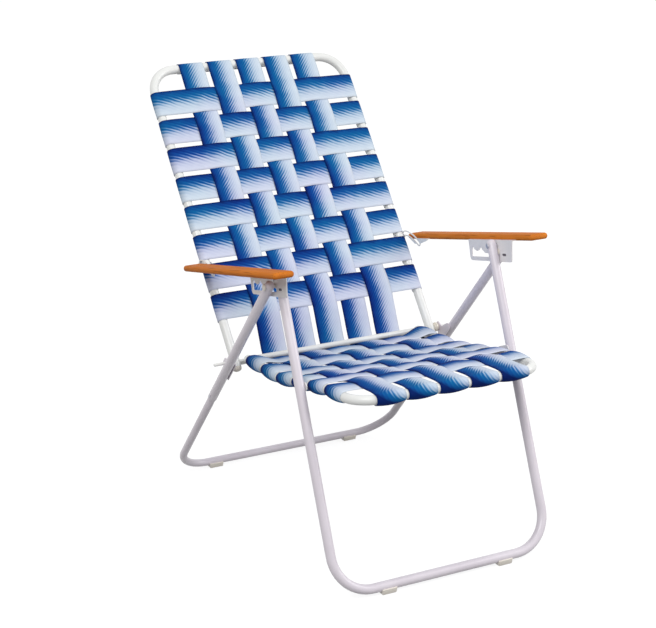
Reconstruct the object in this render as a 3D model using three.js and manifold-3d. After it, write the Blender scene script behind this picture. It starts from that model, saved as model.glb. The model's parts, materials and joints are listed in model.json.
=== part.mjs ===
import * as THREE from 'three';
import { mergeVertices, toCreasedNormals } from 'three/addons/utils/BufferGeometryUtils.js';
import Module from 'manifold-3d';

// Lengths are in millimetres. Angles are in degrees, seen from +X: 0 points to +Y and 90 to +Z.
const wasm = await Module();
wasm.setup();

const tubeRadius = 9.5;
const tubeWall = 1;
const fitGap = 0.3;
const sheetThickness = 2;
const cutOverrun = 1;
const mergeTolerance = 0.001;
const creaseAngle = 35;
const roundSides = 12;
const smallSides = 8;
const bendSteps = 5;

const strapWidth = 57;
const strapThickness = 1.2;
const strapGap = 10;
const longStrapPitch = strapWidth + strapGap;
const weaveCrown = 1.5;
const weaveMargin = 1.5;
const wrapEndAngle = -140;
const frontWrapEndAngle = -98;

const hingeY = 101.8;
const hingeZ = 335.2;
const hingeRodRadius = 3.2;
const hingeRodReach = 27.4;
const hingeRodDome = 1.5;
const creaseBarRadius = 6;
const spacerRadius = 7;
const spacerFlangeRadius = 10;
const spacerFlangeWidth = 3;
const spacerLength = 9.8;

const seatHalfWidth = 200;
const backSpread = 29.7;
const backHalfWidth = seatHalfWidth + backSpread;
const backLength = 669.6;
const backAngle = 51.46;
const backCornerRadius = 55;
const backTailLength = 13;
const backRowStart = 89;
const backRowPitch = strapWidth + strapGap;
const backStrapHold = 12;
const barHookAngle = 300;
const rowPlay = 5;
const capHeight = 8.7;
const capStemLength = 6.5;
const capStemRadius = 7.2;
const crossbarRadius = 4.5;
const crossbarOverhang = 6;

const seatRearRun = 143.9;
const seatMiddleRun = 207;
const seatFrontRun = 113;
const seatRuns = [
  { angle: 177.2, length: seatRearRun },
  { angle: 168.1, length: seatMiddleRun },
  { angle: 174.7, length: seatFrontRun },
];
const seatKneeRadius = 60;
const seatCornerRadius = 49;
const seatRowStart = 11.9;
const seatRowGap = 12;
const seatRowPitch = strapWidth + seatRowGap;
const barTuckAngle = 285;
const railEndDome = 9.4;
const railEndSetback = 0.5;

const glideHeight = 5;
const glideLength = 32;
const glideWrap = 11.5;
const glideSole = 18;
const glideHugAngle = 345;
const legCornerRadius = 75;
const legTopLength = 4;
const legTopDome = 8;
const frontLegOffset = -23.9554748;
const frontGlideInset = 106;
const rearLegOffset = -22.99115435;
const rearSplice = 310;
const rearOverlap = 45;
const rearRivetInset = 10;
const rearGlideInset = 93.4;

const armAngle = 166.86;
const armStartU = 11;
const armLength = 460;
const armWidth = 42.6;
const armTopV = 4.3;
const armThickness = 10;
const armRearOut = 23.8;
const armFrontOut = 30.7;
const armCornerRadius = 15;
const armEdge = 2.5;
const armPivotU = 360.6;
const armPivotV = 24;
const armBoltU = -1.27188077;
const armBoltV = 8.58151154;
const armNotchU = 364.20447315;
const armNotchV = 37.84279941;

const webGap = 1.7;
const hookGap = 0.4;
const pivotRadius = 3;
const pivotHeadRadius = 5.5;
const pivotHeadHeight = 2;
const headTaper = 0.6;
const pinRadius = 4;
const pinHeadRadius = 6.5;
const pinHeadHeight = 3;
const pinTailRadius = 6;
const collarRadius = 4.2;
const spliceRivetRadius = 2;
const spliceHeadRadius = 3.5;
const spliceHeadHeight = 1.5;
const lugRadius = 9;

const foldAngle = 95;
const frontLegShare = 0.94;
const armShare = 0.19;
const slotSteps = 12;
const slotPlay = 0.1;

const frontWeb = { rearU: 256, frontU: 417, noseU: 410, rearV: 57.5, frontV: 59, corner: 7 };
const frontFlangeWidth = 40.8;
const windowRearU = 265;
const windowFrontU = 368.7;
const windowFloorV = 49.5;
const notchTopV = 30;
const notchRadius = 4.5;
const notchUs = [271, 300];
const toothU = 285.5;
const toothV = 38.3;
const rampU = 316;
const rampV = 42.1;
const stampU = 385.4;
const stampV = 44.2;
const stampLength = 14;
const stampWidth = 5;
const rearWebGap = 2;
const rearBandWall = 2.6;
const rearTabOutline = [[26, 14.6], [98, 14.6], [98, 18.6], [62, 27], [44, 26], [26, 15.6]];
const rearFlangeU = [52, 98];
const rearFlangeWidth = 34.8;

const hookStartS = 279;
const hookEndS = 336;
const hookStrip = 7;
const hookEar = 8.8;
const hookLip = 6;
const hookRiseS = 9;
const hookRootS = 13;
const hookRootN = 15.5;
const hookMouth = 0.6;
const hookCorner = 3;

const paint = '#e9e6ea';
const cream = '#efe9db';
const steel = '#cfced2';
const webbing = '#5b7fc0';
const wood = '#c2702c';
const plated = { metalness: 0.4 };
const glossy = { roughness: 0.35 };
const woven = { roughness: 0.8 };

const group = new THREE.Group();
const xAxis = new THREE.Vector3(1, 0, 0);
const sides = { left: -1, right: 1 };
const radians = THREE.MathUtils.degToRad;
const spot = (x, y, z) => new THREE.Vector3(x, y, z);
const heading = (angle) => spot(0, Math.cos(radians(angle)), Math.sin(radians(angle)));
const along = (start, direction, distance) => start.clone().addScaledVector(direction, distance);
const atX = (place, x) => spot(x, place.y, place.z);

// Pivots and directions of the side view.
const hinge = spot(0, hingeY, hingeZ);
const backUp = heading(backAngle);
const backFront = heading(backAngle + 90);
const seatKnots = seatRuns.reduce((knots, { angle, length }) => {
  return [...knots, along(knots.at(-1), heading(angle), length)];
}, [hinge]);
const slipRadius = tubeRadius - tubeWall - fitGap;
const armForward = heading(armAngle);
const armDown = heading(armAngle + 90);
const rowGapAfter = (start, pitch, rows) => start + rows * pitch - (pitch - strapWidth) / 2;
const rowsOn = (length, start, pitch) => Math.floor((length + rowPlay - start + pitch - strapWidth) / pitch);
const seatLength = seatRearRun + seatMiddleRun + seatFrontRun;
const backRowCount = rowsOn(backLength - backCornerRadius, backRowStart, backRowPitch);
const seatRowCount = rowsOn(seatLength - seatCornerRadius, seatRowStart, seatRowPitch);
const longStrapCount = Math.floor(2 * (seatHalfWidth - tubeRadius) / longStrapPitch);
const armBoltPlace = along(hinge, backUp, rowGapAfter(backRowStart, backRowPitch, 2));
const armOrigin = along(along(armBoltPlace, armForward, -armBoltU), armDown, -armBoltV);
const onArm = (u, v) => along(along(armOrigin, armForward, u), armDown, v);
const frontPivot = onArm(armPivotU, armPivotV);
const notchPivot = onArm(armNotchU, armNotchV);

// Sheet planes counted outward from the back.
const hookX = backHalfWidth + tubeRadius + spacerLength + 2 * fitGap;
const webX = hookX - hookGap - sheetThickness;
const frontHalfWidth = webX - webGap - tubeRadius;
const rearHalfWidth = hookX + sheetThickness + fitGap + tubeRadius;
const lugX = frontHalfWidth - tubeRadius - fitGap - sheetThickness;
const rearWebX = backHalfWidth + tubeRadius + rearWebGap;

function seatPlace(distance) {
  let rest = distance;
  let stretchIndex = 0;
  while (stretchIndex < seatRuns.length - 1 && rest > seatRuns[stretchIndex].length) {
    rest -= seatRuns[stretchIndex].length;
    stretchIndex += 1;
  }
  const run = heading(seatRuns[stretchIndex].angle);
  const place = along(seatKnots[stretchIndex], run, rest);
  return { place, run, up: run.clone().cross(xAxis).normalize() };
}

const seatPivot = seatPlace(rowGapAfter(seatRowStart, seatRowPitch, 4)).place;

// A leg from its top pivot down to the floor, past a point that lies beside it by an offset.
function legFrom(top, past, offset, footHeight) {
  const reach = top.clone().sub(past);
  const lean = Math.atan2(reach.z, reach.y) + Math.asin(offset / reach.length());
  const up = spot(0, Math.cos(lean), Math.sin(lean));
  return { up, foot: along(top, up, (footHeight - top.z) / up.z), normal: spot(0, -up.z, up.y) };
}

const { up: frontLegUp, foot: frontFoot, normal: frontNormal } = legFrom(
  frontPivot, seatPivot, frontLegOffset, glideHeight + tubeRadius,
);
const { up: rearLegUp, foot: rearFoot, normal: rearNormal } = legFrom(
  notchPivot, hinge, rearLegOffset, glideHeight + slipRadius,
);

// Joins rings of points into one closed skin; a ring of one point closes an end.
function skin(rings, looped = false) {
  const points = rings.flat();
  const faces = [];
  const starts = [];
  rings.reduce((count, ring) => {
    starts.push(count);
    return count + ring.length;
  }, 0);
  const links = looped ? rings.length : rings.length - 1;
  for (let index = 0; index < links; index += 1) {
    const next = (index + 1) % rings.length;
    const here = rings[index].length;
    const there = rings[next].length;
    for (let step = 0; step < Math.max(here, there); step += 1) {
      const a = starts[index] + (step % here);
      const b = starts[index] + ((step + 1) % here);
      const c = starts[next] + (step % there);
      const d = starts[next] + ((step + 1) % there);
      if (here > 1) faces.push([a, b, d]);
      if (there > 1) faces.push([a, d, c]);
    }
  }
  if (!looped) {
    const last = rings.length - 1;
    for (let step = 1; step < rings[0].length - 1; step += 1) {
      faces.push([starts[0], starts[0] + step + 1, starts[0] + step]);
    }
    for (let step = 1; step < rings[last].length - 1; step += 1) {
      faces.push([starts[last], starts[last] + step, starts[last] + step + 1]);
    }
  }
  const geometry = new THREE.BufferGeometry().setFromPoints(points);
  geometry.setIndex(faces.flat());
  return outward(geometry);
}

// Turns every face outward when the skin was wound the other way.
function outward(geometry) {
  const place = geometry.attributes.position;
  const index = geometry.index.array;
  const corner = [spot(0, 0, 0), spot(0, 0, 0), spot(0, 0, 0)];
  let volume = 0;
  for (let face = 0; face < index.length; face += 3) {
    corner.forEach((point, turn) => point.fromBufferAttribute(place, index[face + turn]));
    volume += corner[0].dot(corner[1].clone().cross(corner[2]));
  }
  if (volume < 0) {
    const flipped = Array.from(index);
    for (let face = 0; face < flipped.length; face += 3) {
      [flipped[face], flipped[face + 1]] = [flipped[face + 1], flipped[face]];
    }
    geometry.setIndex(flipped);
  }
  return geometry;
}

// Replaces the inner corners of a polyline with arcs.
function rounded(points, radii, looped = false) {
  const path = [];
  points.forEach((corner, index) => {
    const ending = !looped && (index === 0 || index === points.length - 1);
    const radius = Array.isArray(radii) ? radii[index] : radii;
    if (ending || radius === 0) {
      path.push(corner.clone());
      return;
    }
    const back = points.at(index - 1).clone().sub(corner).normalize();
    const ahead = points[(index + 1) % points.length].clone().sub(corner).normalize();
    const half = back.angleTo(ahead) / 2;
    const reach = radius / Math.tan(half);
    const turn = Math.PI - 2 * half;
    const centre = along(corner, back.clone().add(ahead).normalize(), radius / Math.sin(half));
    const from = along(corner, back, reach).sub(centre);
    const to = along(corner, ahead, reach).sub(centre);
    const steps = Math.max(2, Math.round(bendSteps * turn / radians(90)));
    for (let step = 0; step <= steps; step += 1) {
      const share = step / steps;
      const arm = from.clone().multiplyScalar(Math.sin((1 - share) * turn) / Math.sin(turn));
      path.push(arm.addScaledVector(to, Math.sin(share * turn) / Math.sin(turn)).add(centre));
    }
  });
  return path;
}

const domeShares = [[0.45, 0.89], [0.8, 0.6]];

// Sweeps a round section along a path; a dome length closes an end with a rounded tip.
function sweep(path, radius, reference, startDome = 0, endDome = 0, facets = roundSides) {
  const stops = path.map((place) => ({ place, radius }));
  const last = path.length - 1;
  const startOut = path[0].clone().sub(path[1]).normalize();
  const endOut = path[last].clone().sub(path[last - 1]).normalize();
  for (const [length, width] of domeShares) {
    const size = radius * width;
    if (startDome) stops.unshift({ place: along(path[0], startOut, startDome * length), radius: size });
    if (endDome) stops.push({ place: along(path[last], endOut, endDome * length), radius: size });
  }
  const side = reference.clone();
  const rings = stops.map(({ place, radius: size }, index) => {
    const before = stops[Math.max(index - 1, 0)].place;
    const after = stops[Math.min(index + 1, stops.length - 1)].place;
    const run = bisect(before, place, after);
    side.addScaledVector(run, -side.dot(run)).normalize();
    return circle(place, side, run.clone().cross(side), size, facets);
  });
  if (startDome) rings.unshift([along(path[0], startOut, startDome)]);
  if (endDome) rings.push([along(path[last], endOut, endDome)]);
  return skin(rings);
}

function bisect(before, place, after) {
  const arriving = place.clone().sub(before).normalize();
  const leaving = after.clone().sub(place).normalize();
  return arriving.add(leaving).normalize();
}

function circle(centre, first, second, radius, facets = roundSides) {
  return Array.from({ length: facets }, (_, index) => {
    const angle = index * 2 * Math.PI / facets;
    return along(along(centre, first, radius * Math.cos(angle)), second, radius * Math.sin(angle));
  });
}

function solid(geometry) {
  const bare = geometry.clone();
  bare.deleteAttribute('normal');
  bare.deleteAttribute('uv');
  const merged = outward(mergeVertices(bare, mergeTolerance));
  const vertProperties = new Float32Array(merged.attributes.position.array);
  const triVerts = new Uint32Array(merged.index.array);
  return new wasm.Manifold(new wasm.Mesh({ numProp: 3, vertProperties, triVerts }));
}

function shape(body) {
  const mesh = body.getMesh();
  const geometry = new THREE.BufferGeometry();
  geometry.setAttribute('position', new THREE.BufferAttribute(new Float32Array(mesh.vertProperties), 3));
  geometry.setIndex(Array.from(mesh.triVerts));
  return geometry;
}

function cut(geometry, tools) {
  return shape(tools.reduce((body, tool) => body.subtract(solid(tool)), solid(geometry)));
}

function stretch(path, startBy, endBy) {
  const copy = path.map((place) => place.clone());
  const last = path.length - 1;
  copy[0].addScaledVector(path[0].clone().sub(path[1]).normalize(), startBy);
  copy[last].addScaledVector(path[last].clone().sub(path[last - 1]).normalize(), endBy);
  return copy;
}

// A bent tube with its bore and its cross holes.
function tube(path, radius, reference, domes, holes, boreFacets = smallSides) {
  const [startBy, endBy] = domes.map((dome) => (dome ? -3 * tubeWall : cutOverrun));
  const bore = sweep(stretch(path, startBy, endBy), radius - tubeWall, reference, 0, 0, boreFacets);
  return cut(sweep(path, radius, reference, ...domes), [bore, ...holes]);
}

// A hole or plain rod along X.
function barrel(centre, fromX, toX, radius, reference = heading(0)) {
  const facets = radius < crossbarRadius ? smallSides : roundSides;
  return sweep([atX(centre, fromX), atX(centre, toX)], radius, reference, 0, 0, facets);
}

// A turned piece along X from [x, radius] stations; radius 0 closes it to a point.
function turned(stations, centre, side, facets = smallSides) {
  return skin(stations.map(([x, radius]) => {
    const middle = atX(centre, side * x);
    return radius ? circle(middle, heading(0), heading(90), radius, facets) : [middle];
  }));
}

// A sheet lying across X, drawn in the plane of two side directions.
function sheet(origin, first, second, outline, nearX, farX, holes = []) {
  const trace = (points) => points.map((point) => new THREE.Vector2(point.x, point.y));
  const face = new THREE.Shape(trace(outline));
  holes.forEach((hole) => face.holes.push(new THREE.Path(trace(hole))));
  const geometry = new THREE.ExtrudeGeometry(face, { depth: farX - nearX, bevelEnabled: false });
  const frame = new THREE.Matrix4().makeBasis(first, second, xAxis).setPosition(atX(origin, nearX));
  geometry.deleteAttribute('normal');
  geometry.deleteAttribute('uv');
  return outward(mergeVertices(geometry.applyMatrix4(frame), mergeTolerance));
}

const flatSpots = (pairs) => pairs.map(([a, b]) => spot(a, b, 0));
const disc = (a, b, radius) => circle(spot(a, b, 0), spot(1, 0, 0), spot(0, 1, 0), radius, smallSides);

// Outline of a bar with two round ends.
function capsule(from, to, radius) {
  const run = to.clone().sub(from).normalize();
  const across = spot(-run.y, run.x, 0);
  const half = smallSides / 2;
  const cap = (centre, start) => Array.from({ length: half + 1 }, (_, index) => {
    const angle = start + index * Math.PI / half;
    return along(along(centre, run, radius * Math.cos(angle)), across, radius * Math.sin(angle));
  });
  return [...cap(to, -Math.PI / 2), ...cap(from, Math.PI / 2)];
}

// A flat strap swept along a path; its width lies along `across`.
function strap(path, across) {
  const rings = path.map((place, index) => {
    const before = path[Math.max(index - 1, 0)];
    const after = path[Math.min(index + 1, path.length - 1)];
    const face = across.clone().cross(bisect(before, place, after)).normalize();
    const corner = (width, depth) => {
      return along(along(place, across, width * strapWidth / 2), face, depth * strapThickness / 2);
    };
    return [corner(1, 1), corner(-1, 1), corner(-1, -1), corner(1, -1)];
  });
  return skin(rings);
}

function add(name, geometry, color, settings = {}) {
  const material = new THREE.MeshStandardMaterial({ color, roughness: 0.5, ...settings });
  const mesh = new THREE.Mesh(toCreasedNormals(geometry, radians(creaseAngle)), material);
  mesh.name = name;
  group.add(mesh);
}

const wrapRadius = tubeRadius + fitGap + strapThickness / 2;
const weaveLift = (strapThickness + fitGap) / 2;
const weaveReach = strapWidth / 2 + weaveMargin;
const arc = (radius, from, to, steps) => Array.from({ length: steps + 1 }, (_, index) => {
  const angle = radians(from + (to - from) * index / steps);
  return [radius * Math.cos(angle), radius * Math.sin(angle)];
});
// From the end under a tube, round its outer side, to its top: [outward, up].
const wrapSteps = arc(wrapRadius, wrapEndAngle, 90, 8);
const longX = (strapIndex) => (strapIndex - (longStrapCount + 1) / 2) * longStrapPitch;
const longIsOver = (strapIndex, row) => (strapIndex + row) % 2 === 1;

// Heights over one crossing: [distance along, height].
function crossing(centre, over) {
  const sign = over ? 1 : -1;
  const edge = wrapRadius + sign * weaveLift;
  return [[centre - weaveReach, edge], [centre, edge + sign * weaveCrown], [centre + weaveReach, edge]];
}

function rowStrap(origin, across, up, halfWidth, row) {
  const wrap = wrapSteps.map(([out, height]) => [halfWidth + out, height]);
  const middle = [];
  for (let index = 1; index <= longStrapCount; index += 1) {
    middle.push(...crossing(longX(index), !longIsOver(index, row)));
  }
  const leftWrap = wrap.map(([x, height]) => [-x, height]);
  const stations = [...leftWrap, ...middle, ...wrap.reverse()];
  return strap(stations.map(([x, height]) => along(atX(origin, x), up, height)), across);
}

// Back
const backTop = along(hinge, backUp, backLength);
const backLow = along(hinge, backUp, -backTailLength);
const hingeBore = hingeRodRadius + fitGap;
const backPath = rounded([
  atX(backLow, -backHalfWidth), atX(backTop, -backHalfWidth),
  atX(backTop, backHalfWidth), atX(backLow, backHalfWidth),
], backCornerRadius);
const pivotBore = pivotRadius + fitGap;
const acrossHole = (centre, halfWidth, radius) => [-1, 1].map((side) => {
  const reach = tubeRadius + cutOverrun;
  return barrel(centre, side * halfWidth - reach, side * halfWidth + reach, radius);
});
add('back_frame', tube(backPath, tubeRadius, backFront, [0, 0], [
  ...acrossHole(hinge, backHalfWidth, hingeBore), ...acrossHole(armBoltPlace, backHalfWidth, pivotBore),
]), paint);

const crossbarDepth = tubeRadius + fitGap + crossbarRadius;
const crossbar = along(hinge, backFront, -crossbarDepth);
const crossbarEnd = backHalfWidth + crossbarOverhang;
add('back_crossbar', barrel(crossbar, -crossbarEnd, crossbarEnd, crossbarRadius, backUp), paint);

for (const [label, side] of Object.entries(sides)) {
  const top = atX(along(backLow, backUp, capStemLength), side * backHalfWidth);
  const shoulder = atX(along(backLow, backUp, -fitGap), side * backHalfWidth);
  const tip = atX(along(backLow, backUp, -capHeight), side * backHalfWidth);
  const slice = (place, radius) => circle(place, backFront, xAxis, radius);
  const domeDrop = (share) => shoulder.clone().lerp(tip, share);
  add(`back_cap_${label}`, skin([
    slice(top, capStemRadius), slice(shoulder, capStemRadius), slice(shoulder, tubeRadius),
    ...domeShares.map(([share, width]) => slice(domeDrop(share), tubeRadius * width)), [tip],
  ]), cream, glossy);
}

for (let row = 1; row <= backRowCount; row += 1) {
  const centre = backRowStart + strapWidth / 2 + (backRowCount - row) * backRowPitch;
  const strapBody = rowStrap(along(hinge, backUp, centre), backUp, backFront, backHalfWidth, row);
  add(`back_row_strap_${row}`, strapBody, webbing, woven);
}

for (let index = 1; index <= longStrapCount; index += 1) {
  const anchor = crossbarRadius + fitGap + strapThickness / 2;
  const hook = arc(anchor, barHookAngle, 90, 7).map(([rise, height]) => [rise, height - crossbarDepth]);
  const stations = [...hook, [backStrapHold, anchor - crossbarDepth]];
  for (let row = backRowCount; row >= 1; row -= 1) {
    const centre = backRowStart + strapWidth / 2 + (backRowCount - row) * backRowPitch;
    stations.push(...crossing(centre, longIsOver(index, row)));
  }
  stations.push(...wrapSteps.map(([out, height]) => [backLength + out, height]).reverse());
  const path = stations.map(([rise, height]) => {
    return atX(along(along(hinge, backUp, rise), backFront, height), longX(index));
  });
  add(`back_long_strap_${index}`, strap(path, xAxis), webbing, woven);
}

// Seat
const seatEnd = seatPlace(railEndSetback).place;
const railKnots = [seatEnd, ...seatKnots.slice(1)];
const railRadii = [0, seatKneeRadius, seatKneeRadius, seatCornerRadius];
const seatPath = rounded([
  ...railKnots.map((place) => atX(place, -seatHalfWidth)),
  ...railKnots.map((place) => atX(place, seatHalfWidth)).reverse(),
], [...railRadii, ...[...railRadii].reverse()]);
add('seat_frame', tube(seatPath, tubeRadius, seatPlace(0).up, [railEndDome, railEndDome], [
  ...acrossHole(hinge, seatHalfWidth, hingeBore), ...acrossHole(seatPivot, seatHalfWidth, pivotBore),
]), paint);

const creaseBarEnd = seatHalfWidth - tubeRadius - fitGap;
const hingeRodEnd = hookX + hingeRodReach;
const rodStations = [
  [creaseBarEnd, creaseBarRadius], [creaseBarEnd, hingeRodRadius],
  [hingeRodEnd - hingeRodDome, hingeRodRadius], [hingeRodEnd, hingeRodRadius * headTaper],
];
const rodMirror = rodStations.map(([x, radius]) => [-x, radius]).reverse();
add('hinge_bar', turned([...rodMirror, ...rodStations], hinge, 1, roundSides), paint);

for (const [label, side] of Object.entries(sides)) {
  const near = backHalfWidth + tubeRadius + fitGap;
  const far = hookX - fitGap;
  const flange = (near + far - spacerFlangeWidth) / 2;
  const outer = [
    [near, spacerRadius], [flange, spacerRadius], [flange, spacerFlangeRadius],
    [flange + spacerFlangeWidth, spacerFlangeRadius], [flange + spacerFlangeWidth, spacerRadius],
    [far, spacerRadius],
  ];
  const rings = [...outer, [far, hingeBore], [near, hingeBore]].map(([x, radius]) => {
    return circle(atX(hinge, side * x), heading(0), heading(90), radius);
  });
  add(`hinge_spacer_${label}`, skin(rings, true), cream, glossy);
}

for (let row = 1; row <= seatRowCount; row += 1) {
  const centre = seatRowStart + strapWidth / 2 + (row - 1) * seatRowPitch;
  const { place, run, up } = seatPlace(centre);
  add(`seat_row_strap_${row}`, rowStrap(place, run, up, seatHalfWidth, row), webbing, woven);
}

for (let index = 1; index <= longStrapCount; index += 1) {
  const tuck = arc(creaseBarRadius + fitGap + strapThickness / 2, barTuckAngle, 180, 4);
  const path = tuck.map(([y, z]) => spot(0, hinge.y + y, hinge.z + z));
  for (let row = 1; row <= seatRowCount; row += 1) {
    const centre = seatRowStart + strapWidth / 2 + (row - 1) * seatRowPitch;
    for (const [distance, height] of crossing(centre, longIsOver(index, row))) {
      const { place, up } = seatPlace(distance);
      path.push(along(place, up, height));
    }
  }
  const seatFront = seatKnots.at(-1);
  const { run, up } = seatPlace(seatFront.distanceTo(hinge) * 2);
  for (const [out, height] of arc(wrapRadius, 90, frontWrapEndAngle, 7)) {
    path.push(along(along(seatFront, run, out), up, height));
  }
  const placed = path.map((place) => atX(place, longX(index)));
  add(`seat_long_strap_${index}`, strap(placed, xAxis), webbing, woven);
}

// Glides: saddles under the foot bars with a flat sole.
function glide(foot, radius, middleX) {
  const drop = radius + glideHeight;
  const hug = arc(radius + fitGap, glideHugAngle, 540 - glideHugAngle, 5);
  const outline = flatSpots([
    ...hug, [-glideWrap, -radius / 3], [-glideSole / 2, -drop],
    [glideSole / 2, -drop], [glideWrap, -radius / 3],
  ]);
  return sheet(foot, heading(0), heading(90), outline, middleX - glideLength / 2, middleX + glideLength / 2);
}

// Front legs
const frontTop = along(frontPivot, frontLegUp, legTopLength);
const frontLegPath = rounded([
  atX(frontTop, -frontHalfWidth), atX(frontFoot, -frontHalfWidth),
  atX(frontFoot, frontHalfWidth), atX(frontTop, frontHalfWidth),
], legCornerRadius);
add('front_leg_frame', tube(frontLegPath, tubeRadius, frontNormal, [legTopDome, legTopDome], [
  ...acrossHole(frontPivot, frontHalfWidth, pivotBore),
]), paint);

const lugFoot = along(frontFoot, frontLegUp, seatPivot.clone().sub(frontFoot).dot(frontLegUp));
const lugReach = lugFoot.clone().sub(seatPivot);
const lugOut = lugReach.clone().normalize();
const lugOutline = capsule(spot(0, 0, 0), spot(lugReach.length(), 0, 0), lugRadius);
const railOuter = seatHalfWidth + tubeRadius;
for (const [label, side] of Object.entries(sides)) {
  const nearX = side > 0 ? lugX : -lugX - sheetThickness;
  const lugUp = spot(0, -lugOut.z, lugOut.y);
  const lugHole = disc(0, 0, pivotBore);
  const plate = sheet(seatPivot, lugOut, lugUp, lugOutline, nearX, nearX + sheetThickness, [lugHole]);
  add(`seat_lug_${label}`, plate, steel);
  const innerX = seatHalfWidth - tubeRadius - fitGap;
  const outerX = lugX + sheetThickness + fitGap;
  add(`seat_rivet_${label}`, turned([
    [innerX - pivotHeadHeight, pivotHeadRadius * headTaper], [innerX - pivotHeadHeight / 2, pivotHeadRadius],
    [innerX, pivotHeadRadius], [innerX, pivotRadius], [railOuter + fitGap, pivotRadius],
    [railOuter + fitGap, collarRadius], [lugX - fitGap, collarRadius], [lugX - fitGap, pivotRadius],
    [outerX, pivotRadius], [outerX, pivotHeadRadius], [outerX + pivotHeadHeight / 2, pivotHeadRadius],
    [outerX + pivotHeadHeight, pivotHeadRadius * headTaper],
  ], seatPivot, side), steel, plated);
  const legInner = frontHalfWidth - tubeRadius - fitGap;
  const legOuter = frontHalfWidth + tubeRadius + fitGap;
  const webOuter = webX + sheetThickness + fitGap;
  add(`leg_rivet_${label}`, turned([
    [legInner - pivotHeadHeight, pivotHeadRadius * headTaper],
    [legInner - pivotHeadHeight / 2, pivotHeadRadius], [legInner, pivotHeadRadius],
    [legInner, pivotRadius], [legOuter, pivotRadius],
    [legOuter, collarRadius], [webX - fitGap, collarRadius], [webX - fitGap, pivotRadius],
    [webOuter, pivotRadius], [webOuter, collarRadius], [webOuter + pivotHeadHeight, collarRadius],
  ], frontPivot, side), steel, plated);
  add(`front_glide_${label}`, glide(frontFoot, tubeRadius, side * (frontHalfWidth - frontGlideInset)), cream);
}

// Rear legs
const spliceEnd = along(rearFoot, rearLegUp, rearSplice);
const splicePin = along(spliceEnd, rearLegUp, rearRivetInset);
const lowerTop = along(spliceEnd, rearLegUp, rearOverlap);
const rearTop = along(notchPivot, rearLegUp, legTopLength);
const rearLowerPath = rounded([
  atX(lowerTop, -rearHalfWidth), atX(rearFoot, -rearHalfWidth),
  atX(rearFoot, rearHalfWidth), atX(lowerTop, rearHalfWidth),
], legCornerRadius);
const spliceBore = spliceRivetRadius + fitGap;
add('rear_lower_frame', tube(rearLowerPath, slipRadius, rearNormal, [0, 0], [
  ...acrossHole(splicePin, rearHalfWidth, spliceBore),
]), paint);

const hookCentreS = notchPivot.clone().sub(hinge).dot(rearLegUp);
const hookOut = spot(0, rearLegUp.z, -rearLegUp.y);
const hookCentreN = hinge.clone().sub(notchPivot).dot(hookOut);
const hookBite = arc(hingeBore, 90, 270, 6).map(([s, n]) => [hookCentreS + s, hookCentreN + n]);
const hookLipS = hookCentreS + hookLip;
const hookOutline = [
  ...rounded(flatSpots([
    [hookEndS, -hookStrip], [hookStartS, -hookStrip], [hookStartS, hookStrip],
    [hookCentreS - hookRootS, hookRootN], [hookCentreS - hookRiseS, hookCentreN + hookEar],
    [hookLipS, hookCentreN + hookEar], [hookLipS, hookCentreN + hingeBore + hookMouth],
  ]), [0, hookCorner, hookCorner, hookCorner, hookCorner, hookCorner / 2, 0]),
  ...flatSpots(hookBite),
  ...flatSpots([
    [hookLipS, hookCentreN - hingeBore], [hookLipS, hookRootN], [hookEndS, hookStrip],
  ]),
];

for (const [label, side] of Object.entries(sides)) {
  const legX = side * rearHalfWidth;
  const reach = tubeRadius + cutOverrun;
  add(`rear_upper_tube_${label}`, tube(
    [atX(spliceEnd, legX), atX(rearTop, legX)], tubeRadius, rearNormal, [0, legTopDome],
    [
      barrel(notchPivot, legX - reach, legX + reach, pinRadius + fitGap),
      barrel(splicePin, legX - reach, legX + reach, spliceBore),
    ], roundSides,
  ), paint);
  const nearX = side > 0 ? hookX : -hookX - sheetThickness;
  const downLeg = rearLegUp.clone().negate();
  const plate = sheet(notchPivot, downLeg, hookOut, hookOutline, nearX, nearX + sheetThickness);
  add(`hook_plate_${label}`, plate, steel);
  const outerX = rearHalfWidth + tubeRadius + fitGap;
  const innerX = rearHalfWidth - tubeRadius - fitGap;
  add(`splice_rivet_${label}`, turned([
    [innerX - spliceHeadHeight, spliceHeadRadius], [innerX, spliceHeadRadius], [innerX, spliceRivetRadius],
    [outerX, spliceRivetRadius], [outerX, spliceHeadRadius],
    [outerX + spliceHeadHeight, spliceHeadRadius * headTaper],
  ], splicePin, side), steel, plated);
  add(`notch_pin_${label}`, turned([
    [frontHalfWidth + tubeRadius + fitGap, pinTailRadius], [webX - fitGap, pinTailRadius],
    [webX - fitGap, pinRadius], [outerX, pinRadius], [outerX, pinHeadRadius],
    [outerX + pinHeadHeight / 2, pinHeadRadius], [outerX + pinHeadHeight, pinHeadRadius * headTaper],
  ], notchPivot, side), cream, glossy);
  add(`rear_glide_${label}`, glide(rearFoot, slipRadius, side * (rearHalfWidth - rearGlideInset)), cream);
}

// Arms
const armBoard = rounded(flatSpots([
  [0, -armWidth / 2], [armLength, -armWidth / 2], [armLength, armWidth / 2], [0, armWidth / 2],
]), armCornerRadius, true);
const armRearX = rearWebX + armRearOut;
const armSplay = Math.atan2(webX + armFrontOut - armRearX, armLength);
const armSpots = (place) => {
  const offset = place.clone().sub(armOrigin);
  return spot(offset.dot(armForward), offset.dot(armDown), 0);
};
const notchSpot = armSpots(notchPivot);
const pivotSpot = armSpots(frontPivot);
const notchRoof = (centreU, centreV) => {
  return arc(notchRadius, 180, 360, 4).map(([u, v]) => [centreU + u, centreV + v]);
};
const windowOutline = flatSpots([
  [windowRearU, windowFloorV],
  ...notchRoof(notchUs[0], notchTopV + notchRadius), [toothU, toothV],
  ...notchRoof(notchUs[1], notchTopV + notchRadius), [rampU, rampV],
  [notchSpot.x - notchRadius, rampV],
  ...notchRoof(notchSpot.x, notchSpot.y), [windowFrontU, windowFloorV],
]);
const halfStamp = (stampLength - stampWidth) / 2;
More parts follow.
